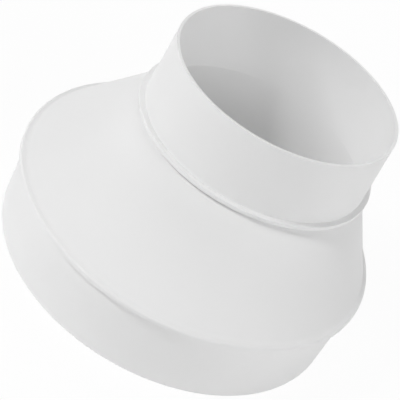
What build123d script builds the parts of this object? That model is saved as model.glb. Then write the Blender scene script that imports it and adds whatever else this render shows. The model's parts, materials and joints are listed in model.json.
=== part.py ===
from build123d import *

import math
import os

# An eccentric duct reducer, moulded as one thin white shell, in millimetres.
# It stands on the mouth of its large spigot. The origin is the centre of that mouth, Z runs along the
# large spigot, and X points to the side on which the two spigots are flush.

# Spigots: the ducts push over their outsides
large_spigot_radius = 74.0
small_spigot_radius = 49.0
large_spigot_length = 29.5
small_spigot_length = 29.5
wall = 1.6

# Each mouth narrows a little, so that a duct starts easily, and the edges of its rim are broken
lead_in_length = 10.0
lead_in_depth = 0.25
rim_bevel = 0.4
bore_rim_bevel = 0.3

# Slanting cone between the spigots, and the short neck that parts it from the small stop ring
cone_height = 24.3
neck_height = 0.8
throat_break = 0.4

# Stop rings at the roots of the spigots, against which the ducts come to rest
stop_thickness = 1.6
large_stop_step = 2.2
small_stop_step = 3.2
stop_top_bevel = 0.6
stop_under_bevel = 0.15
seat_corner_web = 0.35

# Heights of the outside, upwards from the large mouth
large_stop_top = large_spigot_length + stop_thickness
cone_top = large_stop_top + cone_height
small_stop_under = cone_top + neck_height
small_stop_top = small_stop_under + stop_thickness
small_mouth = small_stop_top + small_spigot_length

# The small spigot stands off the large one's axis by the whole difference of their radii
spigot_offset = large_spigot_radius - small_spigot_radius

# The bores keep the wall, and so does the cone's inside along its longest slope, which sets its heights
large_bore_radius = large_spigot_radius - wall
small_bore_radius = small_spigot_radius - wall
long_run = 2 * spigot_offset
long_slope = math.hypot(cone_height, long_run)
inside_drop = wall * (long_slope - cone_height) / long_run
large_bore_top = large_stop_top - inside_drop
throat_height = cone_top - inside_drop


def turned(outline, bevels):
    """Turn an outline of (radius, height) points about Z, with its (corner, bevel length) pairs cut first."""
    profile = make_face(Polyline(*outline, close=True))
    for corner, bevel in bevels:
        nearest = profile.vertices().sort_by_distance(Vector(*corner))[0]
        profile = chamfer(nearest, bevel)
    return revolve(Plane.XZ * profile, Axis.Z)


def slanted(low_radius, low_height, high_offset, high_radius, high_height):
    """Slanting cone from a circle round the large axis to a circle that stands off it along X."""
    low_circle = Pos(0, 0, low_height) * Circle(low_radius)
    high_circle = Pos(high_offset, 0, high_height) * Circle(high_radius)
    return loft([low_circle, high_circle], ruled=True)


def stop_bevels(step):
    """Bevels of a stop ring's top and under edges, which always leave some of its rim upright."""
    room = min(step, stop_thickness)
    return min(stop_top_bevel, 0.6 * room), min(stop_under_bevel, 0.2 * room)


def large_end():
    """Large spigot with its stop ring, as a full disc shape, mouth down at height 0."""
    mouth_corner = (large_spigot_radius - lead_in_depth, 0)
    stop_radius = large_spigot_radius + large_stop_step
    under_corner = (stop_radius, large_spigot_length)
    top_corner = (stop_radius, large_stop_top)
    outline = [
        (0, 0),
        mouth_corner,
        (large_spigot_radius, lead_in_length),
        (large_spigot_radius, large_spigot_length),
        under_corner,
        top_corner,
        (0, large_stop_top),
    ]
    top_bevel, under_bevel = stop_bevels(large_stop_step)
    bevels = [(mouth_corner, rim_bevel), (under_corner, under_bevel), (top_corner, top_bevel)]
    return turned(outline, bevels)


def small_end():
    """Neck, stop ring and small spigot as a full disc shape, round the small spigot's own axis."""
    mouth_corner = (small_spigot_radius - lead_in_depth, small_mouth)
    stop_radius = small_spigot_radius + small_stop_step
    under_corner = (stop_radius, small_stop_under)
    top_corner = (stop_radius, small_stop_top)
    seat_corner = (small_spigot_radius, small_stop_top)
    outline = [
        (0, cone_top),
        (small_spigot_radius, cone_top),
        (small_spigot_radius, small_stop_under),
        under_corner,
        top_corner,
        seat_corner,
        (small_spigot_radius, small_mouth - lead_in_length),
        mouth_corner,
        (0, small_mouth),
    ]
    top_bevel, under_bevel = stop_bevels(small_stop_step)
    bevels = [
        (under_corner, under_bevel),
        (top_corner, top_bevel),
        (seat_corner, seat_corner_web),
        (mouth_corner, rim_bevel),
    ]
    return Pos(spigot_offset, 0, 0) * turned(outline, bevels)


def air_way():
    """The hollow: large bore, slanting cone with its throat edge broken, and small bore, past both mouths."""
    past = 5.0
    large_bore = extrude(Pos(0, 0, -past) * Circle(large_bore_radius), large_bore_top + past)
    throat_circle = small_bore_radius + throat_break
    cone = slanted(large_bore_radius, large_bore_top, spigot_offset - throat_break,
                   throat_circle, throat_height)
    throat = loft([
        Pos(spigot_offset - throat_break, 0, throat_height) * Circle(throat_circle),
        Pos(spigot_offset, 0, throat_height + throat_break) * Circle(small_bore_radius),
    ], ruled=True)
    small_foot = throat_height + throat_break
    small_bore = extrude(Pos(spigot_offset, 0, small_foot) * Circle(small_bore_radius),
                         small_mouth - small_foot + past)
    return large_bore + cone + throat + small_bore


def reducer_body():
    """The whole moulding: both ends and the cone as one skin, hollowed by the air way, bore rims broken."""
    cone = slanted(large_spigot_radius, large_stop_top, spigot_offset, small_spigot_radius, cone_top)
    body = large_end() + cone + small_end() - air_way()
    bore_rims = [
        body.edges().filter_by(GeomType.CIRCLE).filter_by_position(Axis.Z, mouth - 0.01, mouth + 0.01)
        .sort_by(SortBy.RADIUS)[0]
        for mouth in (0, small_mouth)
    ]
    return chamfer(bore_rims, bore_rim_bevel)


os.makedirs("parts", exist_ok=True)
export_step(reducer_body(), "parts/reducer_body.step")
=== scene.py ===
"""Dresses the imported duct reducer: its moulded body in white plastic, and a pale studio around it."""

import json
import math

import bpy
import numpy as np
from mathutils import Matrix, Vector


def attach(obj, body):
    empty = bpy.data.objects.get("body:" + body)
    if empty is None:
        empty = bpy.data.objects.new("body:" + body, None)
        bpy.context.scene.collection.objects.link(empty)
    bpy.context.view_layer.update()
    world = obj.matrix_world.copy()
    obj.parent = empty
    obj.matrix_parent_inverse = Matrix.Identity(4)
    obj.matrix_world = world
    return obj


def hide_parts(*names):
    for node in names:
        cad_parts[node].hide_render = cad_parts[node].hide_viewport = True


bl_info = {
    "name": "Eccentric Duct Reducer",
    "version": (1, 0, 0),
    "blender": (4, 5, 0),
    "location": "3D View > Sidebar > Reducer",
    "description": "Builds an eccentric duct reducer in white plastic and a pale studio for it",
    "category": "Object",
}

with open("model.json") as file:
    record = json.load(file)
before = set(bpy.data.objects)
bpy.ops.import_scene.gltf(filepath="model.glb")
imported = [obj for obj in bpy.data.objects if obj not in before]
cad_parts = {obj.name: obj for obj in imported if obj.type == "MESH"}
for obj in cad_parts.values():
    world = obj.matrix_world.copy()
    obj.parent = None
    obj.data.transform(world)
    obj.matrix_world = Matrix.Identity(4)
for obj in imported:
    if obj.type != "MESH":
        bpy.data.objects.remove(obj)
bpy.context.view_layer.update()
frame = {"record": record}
MOUNTS = {mount["name"]: mount for mount in frame["record"]["mounts"]}

MM = 0.001
NODE = "reducer_body"

# Mesh of the body: steps in each rounded corner, longest step along the wall, how far from a rounded corner
# a flat run starts, the turn (radians) below which a corner is left as it is, and the sharpest smooth edge
ARC_STEPS = 5
WALL_STEP = 6 * MM
FLAT_MARGIN = 0.12 * MM
STRAIGHT_TURN = 0.04
SMOOTH_UP_TO = math.radians(40)

# Patterns: how many patches there are in a metre, and how many finer layers each one holds
PLASTIC_CLOUDS = (18.0, 2.0)
PLASTIC_SMUDGES = (35.0, 4.0)
PLASTIC_GRAIN = (2200.0, 2.0)
FLOOR_CLOUDS = (6.0, 2.0)

# Noise of every pattern: how strong its finer layers are, and the levels that become its low and high value
NOISE_ROUGHNESS = 0.55
NOISE_LOW = 0.3
NOISE_HIGH = 0.7

# Finish of the plastic: how strongly it bends light, and how marked and how deep its grain is
PLASTIC_IOR = 1.48
GRAIN_STRENGTH = 0.35
GRAIN_DEPTH = 0.01 * MM

# Floor: half its side in metres, how far it lies below the rim so that the two share no plane, its
# roughness, and how far it is lifted to plain white where it is seen
FLOOR_HALF_SIDE = 3.0
FLOOR_GAP = 0.05 * MM
FLOOR_ROUGHNESS = 0.9
FLOOR_WHITENING = 0.95

# Camera, found from the outline of the part in the photograph: its place and nearest sight in metres, its
# turns in degrees, its lens and sensor in millimetres
CAMERA_PLACE = (-0.44004, -0.12156, 0.35636)
CAMERA_NEAREST = 0.01
CAMERA_TURNS = (50.7745, -23.9013, -56.144)
CAMERA_LENS = 124.58
CAMERA_SENSOR = 36.0

# Height of the soft lamp under the large mouth
GLOW_HEIGHT = 0.4 * MM

# Each lamp: where it stands, round the body from +X and above the floor, how wide it looks, all in degrees,
# and how bright it alone makes a white surface that faces it
LAMPS = {
    "main_lamp": (131.0, 43.0, 10.0, 0.252),
    "left_lamp": (120.0, 30.0, 25.0, 0.314),
    "low_left_lamp": (90.0, 15.0, 25.0, 0.095),
    "near_left_lamp": (180.0, 30.0, 25.0, 0.155),
    "near_right_lamp": (225.0, 30.0, 25.0, 0.102),
    "right_lamp": (255.0, 30.0, 25.0, 0.196),
    "far_right_lamp": (285.0, 30.0, 25.0, 0.106),
    "low_right_lamp": (285.0, 8.0, 25.0, 0.129),
    "back_left_lamp": (36.0, 52.0, 25.0, 0.152),
    "back_right_lamp": (336.0, 52.0, 25.0, 0.093),
}


def length(name, description, millimetres):
    """A length property, with its default given in millimetres."""
    return bpy.props.FloatProperty(
        name=name,
        description=description,
        default=millimetres * MM,
        min=0.0,
        precision=5,
        unit="LENGTH",
        subtype="DISTANCE",
    )


def share(name, description, default):
    """A property between 0 and 1."""
    return bpy.props.FloatProperty(
        name=name, description=description, default=default, min=0.0, max=1.0, subtype="FACTOR"
    )


def colour(name, description, default):
    """A colour property."""
    return bpy.props.FloatVectorProperty(
        name=name, description=description, default=default, min=0.0, max=1.0, size=3, subtype="COLOR"
    )


def power(name, description, default):
    """A strength of light."""
    return bpy.props.FloatProperty(name=name, description=description, default=default, min=0.0)


class DuctReducerSizes(bpy.types.PropertyGroup):
    """Sizes of the moulded body."""

    large_radius: length(
        "Large radius",
        "Outside radius of the large spigot at its stop ring",
        MOUNTS["large_spigot"]["dims"]["r_mm"],
    )
    small_radius: length(
        "Small radius",
        "Outside radius of the neck, and of the small spigot between its foot and its mouth",
        MOUNTS["small_spigot"]["dims"]["r_mm"],
    )
    large_length: length("Large spigot length", "From its mouth to its stop ring", 28.7)
    small_length: length("Small spigot length", "From its stop ring to its mouth", 29.4)
    wall: length("Wall", "How much smaller than its spigot each bore is in radius", 1.6)
    large_mouth_taper: length("Large mouth taper", "How much less the large radius is at its mouth", 0.6)
    small_mouth_taper: length("Small mouth taper", "How much less the small radius is at its mouth", 0.37)
    small_foot_flare: length("Small foot flare", "How much more the small radius is at its stop ring", 0.67)
    cone_height: length("Cone height", "Height of the slanting cone", 24.9)
    neck_height: length("Neck height", "Gap between the cone and the small stop ring", 0.2)
    large_stop_thickness: length("Large stop thickness", "Thickness of the large stop ring", 2.4)
    small_stop_thickness: length("Small stop thickness", "Thickness of the small stop ring", 1.7)
    large_stop_step: length("Large stop step", "How far its ring stands out past the large radius", 2.17)
    small_stop_step: length("Small stop step", "How far its ring stands out past the small radius", 3.05)
    large_stop_round: length("Large stop round", "Round of the large stop ring's top edge", 1.1)
    small_stop_round: length("Small stop round", "Round of the small stop ring's top edge", 0.3)
    edge_round: length("Edge round", "Round of the stop rings' under edges", 0.2)
    rim_round: length("Rim round", "Round of the outside edges of both mouths", 0.12)
    bore_rim_round: length("Bore rim round", "Round of the inside edges of both mouths", 0.1)
    seat_fillet: length("Seat fillet", "Fillet between the small spigot and its stop ring", 0.05)
    foot_fillet: length("Foot fillet", "Fillet between the cone and the large stop ring", 2.0)
    corner_fillet: length("Corner fillet", "Fillet of the other inside corners", 0.1)
    throat_round: length("Throat round", "Round where the cone's inside meets each bore", 0.6)
    around: bpy.props.IntProperty(
        name="Steps around", description="Faces around the body", default=256, min=24
    )


class DuctReducerLooks(bpy.types.PropertyGroup):
    """Colours and finish of the body and of the studio."""

    plastic: colour("Plastic", "Colour of the moulded plastic", (0.83, 0.83, 0.83))
    plastic_shade: share("Plastic shade", "How much darker the plastic's faint clouding is", 0.985)
    roughness: share("Roughness", "Roughness of the plastic between its smudges", 0.55)
    smudge: share("Smudge roughness", "Roughness of the plastic in its faint smudges", 0.62)
    floor: colour("Floor", "Colour of the floor", (0.90, 0.90, 0.90))
    floor_shade: share("Floor shade", "How much darker the floor's faint clouding is", 0.99)
    lamp_strength: power("Lamps", "Strength of all the lamps together", 1.0)
    glow_strength: power("Mouth glow", "Brightness of the soft light under the large mouth", 0.187)
    fill_strength: power("Fill light", "Strength of the light from all around", 0.0)


def between(start, end, spacing, margin):
    """Points on a straight run, both ends left out.

    The first and last lie a margin from the ends, which keeps the shading of the run flat, and the rest
    are spread evenly with about the given spacing. A run too short for that gets its middle alone.
    """
    run = end - start
    distance = np.linalg.norm(run)
    if distance <= 3 * margin:
        return start + run * np.array([[0.5]])
    steps = max(1, round((distance - 2 * margin) / spacing))
    shares = np.linspace(margin / distance, 1 - margin / distance, steps + 1)
    return start + run * shares[:, None]


def rounded(before, corner, after, radius, steps):
    """Points of the arc that rounds a corner, tangent to both of its runs.

    The arc's centre lies on the bisector of the corner, at the radius divided by the sine of half the
    corner's angle. The arc turns from the one tangent point to the other in equal steps.
    """
    back = (before - corner) / np.linalg.norm(before - corner)
    ahead = (after - corner) / np.linalg.norm(after - corner)
    half_angle = math.acos(float(np.clip(back @ ahead, -1, 1))) / 2
    if radius <= 0 or math.pi - 2 * half_angle < STRAIGHT_TURN:
        return corner[None, :]
    middle = (back + ahead) / np.linalg.norm(back + ahead)
    centre = corner + middle * radius / math.sin(half_angle)
    first = (corner + back * radius / math.tan(half_angle) - centre) / radius
    across = -middle - first * float(-middle @ first)
    across /= np.linalg.norm(across)
    turns = np.linspace(0, math.pi - 2 * half_angle, steps + 1)[:, None]
    return centre + radius * (first * np.cos(turns) + across * np.sin(turns))


def body_section(sizes):
    """Corners of the wall's section, with the round of each, in the order outside upwards, inside downwards.

    Each corner is a circle that lies flat: how far its centre stands off along X, its radius, its height.
    The inside of the cone is lowered by the wall times (slope - height) / run, all measured on the cone's
    longest side, which keeps the wall's thickness there.
    """
    large, small = sizes.large_radius, sizes.small_radius
    offset = large - small
    ring_under = sizes.large_length
    ring_top = ring_under + sizes.large_stop_thickness
    cone_top = ring_top + sizes.cone_height
    stop_under = cone_top + sizes.neck_height
    stop_top = stop_under + sizes.small_stop_thickness
    mouth = stop_top + sizes.small_length
    long_run = 2 * offset
    long_slope = math.hypot(sizes.cone_height, long_run)
    inside_drop = sizes.wall * (long_slope - sizes.cone_height) / long_run
    large_bore, small_bore = large - sizes.wall, small - sizes.wall
    large_ring, small_ring = large + sizes.large_stop_step, small + sizes.small_stop_step
    small_foot = small + sizes.small_foot_flare
    return [
        ((0, large - sizes.large_mouth_taper, 0), sizes.rim_round),
        ((0, large, ring_under), sizes.corner_fillet),
        ((0, large_ring, ring_under), sizes.edge_round),
        ((0, large_ring, ring_top), sizes.large_stop_round),
        ((0, large, ring_top), sizes.foot_fillet),
        ((offset, small, cone_top), sizes.corner_fillet),
        ((offset, small, stop_under), sizes.corner_fillet),
        ((offset, small_ring, stop_under), sizes.edge_round),
        ((offset, small_ring, stop_top), sizes.small_stop_round),
        ((offset, small_foot, stop_top), sizes.seat_fillet),
        ((offset, small - sizes.small_mouth_taper, mouth), sizes.rim_round),
        ((offset, small_bore, mouth), sizes.bore_rim_round),
        ((offset, small_bore, cone_top - inside_drop), sizes.throat_round),
        ((0, large_bore, ring_top - inside_drop), sizes.throat_round),
        ((0, large_bore, 0), sizes.bore_rim_round),
    ]


def section_rings(section):
    """The closed section as an array of rings, its corners rounded and its runs divided."""
    corners = [np.array(place, float) for place, _ in section]
    arcs = [
        rounded(corners[i - 1], corner, corners[(i + 1) % len(corners)], section[i][1], ARC_STEPS)
        for i, corner in enumerate(corners)
    ]
    pieces = []
    for arc, next_arc in zip(arcs, arcs[1:] + arcs[:1]):
        pieces += [arc, between(arc[-1], next_arc[0], WALL_STEP, FLAT_MARGIN)]
    return np.vstack(pieces)


def ring_shell(name, rings, around):
    """A closed shell of flat rings.

    The point at angle a on a ring is (offset + radius cos a, radius sin a, height). Each ring is joined to
    the next by quads, and the last one to the first.
    """
    angles = np.linspace(0, 2 * math.pi, around, endpoint=False)
    offsets, radii, heights = rings.T
    points = np.empty((len(rings), around, 3))
    points[..., 0] = offsets[:, None] + radii[:, None] * np.cos(angles)
    points[..., 1] = radii[:, None] * np.sin(angles)
    points[..., 2] = heights[:, None]
    index = np.arange(len(rings) * around).reshape(len(rings), around)
    along = np.roll(index, -1, axis=0)
    quads = np.stack([index, np.roll(index, -1, axis=1), np.roll(along, -1, axis=1), along], axis=-1)
    mesh = bpy.data.meshes.new(name)
    mesh.from_pydata(points.reshape(-1, 3), [], quads.reshape(-1, 4))
    mesh.polygons.foreach_set("use_smooth", np.ones(len(mesh.polygons), bool))
    mesh.set_sharp_from_angle(angle=SMOOTH_UP_TO)
    mesh.update()
    return mesh


def clouding_group():
    """Node group: soft clouds between two values, from Object coordinates."""
    group = bpy.data.node_groups.new("soft_clouding", "ShaderNodeTree")
    for socket, kind, default in (
        ("Coordinates", "NodeSocketVector", None),
        ("Scale", "NodeSocketFloat", 20.0),
        ("Detail", "NodeSocketFloat", 3.0),
        ("Low", "NodeSocketFloat", 0.0),
        ("High", "NodeSocketFloat", 1.0),
    ):
        made = group.interface.new_socket(name=socket, in_out="INPUT", socket_type=kind)
        if default is not None:
            made.default_value = default
    group.interface.new_socket(name="Value", in_out="OUTPUT", socket_type="NodeSocketFloat")
    nodes, links = group.nodes, group.links
    inputs = nodes.new("NodeGroupInput")
    outputs = nodes.new("NodeGroupOutput")
    noise = nodes.new("ShaderNodeTexNoise")
    noise.inputs["Roughness"].default_value = NOISE_ROUGHNESS
    spread = nodes.new("ShaderNodeMapRange")
    spread.inputs["From Min"].default_value = NOISE_LOW
    spread.inputs["From Max"].default_value = NOISE_HIGH
    links.new(inputs.outputs["Coordinates"], noise.inputs["Vector"])
    links.new(inputs.outputs["Scale"], noise.inputs["Scale"])
    links.new(inputs.outputs["Detail"], noise.inputs["Detail"])
    links.new(noise.outputs["Fac"], spread.inputs["Value"])
    links.new(inputs.outputs["Low"], spread.inputs["To Min"])
    links.new(inputs.outputs["High"], spread.inputs["To Max"])
    links.new(spread.outputs["Result"], outputs.inputs["Value"])
    return group


def clouding(tree, coordinates, pattern, low, high):
    """Place the clouding group in a material with its own values, and return its output."""
    scale, detail = pattern
    node = tree.nodes.new("ShaderNodeGroup")
    node.node_tree = bpy.data.node_groups.get("soft_clouding") or clouding_group()
    for socket, value in (("Scale", scale), ("Detail", detail), ("Low", low), ("High", high)):
        node.inputs[socket].default_value = value
    tree.links.new(coordinates, node.inputs["Coordinates"])
    return node.outputs["Value"]


def shaded_colour(tree, base, shade):
    """A colour multiplied by a value that changes over the surface."""
    tint = tree.nodes.new("ShaderNodeVectorMath")
    tint.operation = "SCALE"
    tint.inputs[0].default_value = base
    tree.links.new(shade, tint.inputs["Scale"])
    return tint.outputs["Vector"]


def white_plastic(looks):
    """Satin white plastic as moulded: faint clouding, faint smudges and a fine grain."""
    material = bpy.data.materials.new("white_plastic_satin")
    material.use_nodes = True
    tree = material.node_tree
    shader = tree.nodes["Principled BSDF"]
    shader.inputs["IOR"].default_value = PLASTIC_IOR
    place = tree.nodes.new("ShaderNodeTexCoord").outputs["Object"]
    cloud = clouding(tree, place, PLASTIC_CLOUDS, looks.plastic_shade, 1.0)
    tree.links.new(shaded_colour(tree, looks.plastic, cloud), shader.inputs["Base Color"])
    smudge = clouding(tree, place, PLASTIC_SMUDGES, looks.roughness, looks.smudge)
    tree.links.new(smudge, shader.inputs["Roughness"])
    grain = clouding(tree, place, PLASTIC_GRAIN, 0.0, 1.0)
    bump = tree.nodes.new("ShaderNodeBump")
    bump.inputs["Strength"].default_value = GRAIN_STRENGTH
    bump.inputs["Distance"].default_value = GRAIN_DEPTH
    tree.links.new(grain, bump.inputs["Height"])
    tree.links.new(bump.outputs["Normal"], shader.inputs["Normal"])
    return material


def seen_directly(tree):
    """1 for light paths that show the background: straight, in a reflection or through glass."""
    path = tree.nodes.new("ShaderNodeLightPath")
    either = tree.nodes.new("ShaderNodeMath")
    either.operation = "MAXIMUM"
    tree.links.new(path.outputs["Is Camera Ray"], either.inputs[0])
    tree.links.new(path.outputs["Is Glossy Ray"], either.inputs[1])
    any_of_three = tree.nodes.new("ShaderNodeMath")
    any_of_three.operation = "MAXIMUM"
    tree.links.new(either.outputs["Value"], any_of_three.inputs[0])
    tree.links.new(path.outputs["Is Transmission Ray"], any_of_three.inputs[1])
    return any_of_three.outputs["Value"]


def studio_floor(looks):
    """Pale floor, lifted towards plain white where it is seen, so that it keeps a faint shadow."""
    material = bpy.data.materials.new("pale_floor")
    material.use_nodes = True
    tree = material.node_tree
    shader = tree.nodes["Principled BSDF"]
    shader.inputs["Roughness"].default_value = FLOOR_ROUGHNESS
    shader.inputs["Specular IOR Level"].default_value = 0.0
    place = tree.nodes.new("ShaderNodeTexCoord").outputs["Object"]
    cloud = clouding(tree, place, FLOOR_CLOUDS, looks.floor_shade, 1.0)
    tree.links.new(shaded_colour(tree, looks.floor, cloud), shader.inputs["Base Color"])
    white = tree.nodes.new("ShaderNodeEmission")
    white.inputs["Strength"].default_value = 1.0
    lift = tree.nodes.new("ShaderNodeMath")
    lift.operation = "MULTIPLY"
    lift.inputs[1].default_value = FLOOR_WHITENING
    tree.links.new(seen_directly(tree), lift.inputs[0])
    mixed = tree.nodes.new("ShaderNodeMixShader")
    tree.links.new(lift.outputs["Value"], mixed.inputs["Fac"])
    tree.links.new(shader.outputs["BSDF"], mixed.inputs[1])
    tree.links.new(white.outputs["Emission"], mixed.inputs[2])
    tree.links.new(mixed.outputs["Shader"], tree.nodes["Material Output"].inputs["Surface"])
    return material


def studio_world(looks):
    """World that is plain white where it is seen, and an even fill light everywhere else."""
    world = bpy.data.worlds.new("studio_world")
    world.use_nodes = True
    tree = world.node_tree
    fill = tree.nodes["Background"]
    fill.inputs["Color"].default_value = (1, 1, 1, 1)
    fill.inputs["Strength"].default_value = looks.fill_strength
    white = tree.nodes.new("ShaderNodeBackground")
    white.inputs["Color"].default_value = (1, 1, 1, 1)
    white.inputs["Strength"].default_value = 1.0
    mixed = tree.nodes.new("ShaderNodeMixShader")
    tree.links.new(seen_directly(tree), mixed.inputs["Fac"])
    tree.links.new(fill.outputs["Background"], mixed.inputs[1])
    tree.links.new(white.outputs["Background"], mixed.inputs[2])
    tree.links.new(mixed.outputs["Shader"], tree.nodes["World Output"].inputs["Surface"])
    return world


def lamp(name, azimuth, elevation, width, strength):
    """Far soft lamp that shines on the body from a compass direction, seen from above.

    The direction is (cos azimuth cos elevation, sin azimuth cos elevation, sin elevation). Light of pi watts
    per square metre makes a white surface that faces it plain white.
    """
    turn, rise = math.radians(azimuth), math.radians(elevation)
    towards = Vector((math.cos(turn) * math.cos(rise), math.sin(turn) * math.cos(rise), math.sin(rise)))
    data = bpy.data.lights.new(name, "SUN")
    data.angle = math.radians(width)
    data.energy = math.pi * strength
    made = bpy.data.objects.new(name, data)
    made.location = towards
    made.rotation_euler = towards.to_track_quat("Z", "Y").to_euler()
    bpy.context.scene.collection.objects.link(made)
    return made


def mouth_glow(radius, brightness):
    """Soft round lamp on the floor under the open large mouth, shining up into it and unseen itself.

    A flat lamp of radius r gives off pi * pi * r * r watts at a brightness of 1.
    """
    data = bpy.data.lights.new("mouth_glow", "AREA")
    data.shape = "DISK"
    data.size = 2 * radius
    data.energy = brightness * (math.pi * radius) ** 2
    made = bpy.data.objects.new("mouth_glow", data)
    made.location = (0, 0, GLOW_HEIGHT)
    made.rotation_euler = (math.pi, 0, 0)
    made.visible_camera = False
    bpy.context.scene.collection.objects.link(made)
    return made


def studio_camera():
    """Camera where the photograph was taken from, rolled as it was held."""
    data = bpy.data.cameras.new("studio_camera")
    data.sensor_width = CAMERA_SENSOR
    data.lens = CAMERA_LENS
    data.clip_start = CAMERA_NEAREST
    made = bpy.data.objects.new("studio_camera", data)
    made.location = CAMERA_PLACE
    made.rotation_euler = [math.radians(turn) for turn in CAMERA_TURNS]
    bpy.context.scene.collection.objects.link(made)
    bpy.context.scene.camera = made
    return made


class DUCTREDUCER_OT_body(bpy.types.Operator):
    """Build the moulded body of the reducer"""

    bl_idname = "duct_reducer.body"
    bl_label = "Build Body"

    def execute(self, context):
        sizes = context.scene.duct_reducer_sizes
        rings = section_rings(body_section(sizes))
        mesh = ring_shell("reducer_shell", rings, sizes.around)
        mesh.materials.append(white_plastic(context.scene.duct_reducer_looks))
        shell = bpy.data.objects.new("reducer_shell", mesh)
        context.scene.collection.objects.link(shell)
        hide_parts(NODE)
        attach(shell, "root")
        return {"FINISHED"}


class DUCTREDUCER_OT_stage(bpy.types.Operator):
    """Set up the pale floor, the light and the camera"""

    bl_idname = "duct_reducer.stage"
    bl_label = "Build Stage"

    def execute(self, context):
        looks = context.scene.duct_reducer_looks
        mesh = bpy.data.meshes.new("floor")
        corners = np.array([[-1, -1, 0], [1, -1, 0], [1, 1, 0], [-1, 1, 0]]) * FLOOR_HALF_SIDE
        mesh.from_pydata(corners.tolist(), [], [(0, 1, 2, 3)])
        mesh.materials.append(studio_floor(looks))
        floor = bpy.data.objects.new("floor", mesh)
        floor.location.z = -FLOOR_GAP
        context.scene.collection.objects.link(floor)
        context.scene.world = studio_world(looks)
        for name, (azimuth, elevation, width, strength) in LAMPS.items():
            lamp(name, azimuth, elevation, width, strength * looks.lamp_strength)
        sizes = context.scene.duct_reducer_sizes
        mouth_glow(sizes.large_radius - sizes.wall, looks.glow_strength)
        studio_camera()
        context.scene.view_settings.view_transform = "Standard"
        return {"FINISHED"}


class DUCTREDUCER_PT_panel(bpy.types.Panel):
    """Sidebar panel of the reducer"""

    bl_idname = "DUCTREDUCER_PT_panel"
    bl_label = "Duct Reducer"
    bl_space_type = "VIEW_3D"
    bl_region_type = "UI"
    bl_category = "Reducer"

    def draw(self, context):
        for group in (context.scene.duct_reducer_sizes, context.scene.duct_reducer_looks):
            column = self.layout.column(align=True)
            for name in group.__annotations__:
                column.prop(group, name)
        for operator in OPERATORS:
            self.layout.operator(operator.bl_idname)


OPERATORS = (DUCTREDUCER_OT_body, DUCTREDUCER_OT_stage)
CLASSES = (DuctReducerSizes, DuctReducerLooks, *OPERATORS, DUCTREDUCER_PT_panel)


def register():
    """Register the classes and hang the two property groups on the scene."""
    for part in CLASSES:
        bpy.utils.register_class(part)
    bpy.types.Scene.duct_reducer_sizes = bpy.props.PointerProperty(type=DuctReducerSizes)
    bpy.types.Scene.duct_reducer_looks = bpy.props.PointerProperty(type=DuctReducerLooks)


def unregister():
    """Undo register."""
    del bpy.types.Scene.duct_reducer_looks
    del bpy.types.Scene.duct_reducer_sizes
    for part in reversed(CLASSES):
        bpy.utils.unregister_class(part)


def main():
    """Build everything in order."""
    register()
    bpy.ops.duct_reducer.body()
    bpy.ops.duct_reducer.stage()


if __name__ == "__main__":
    main()
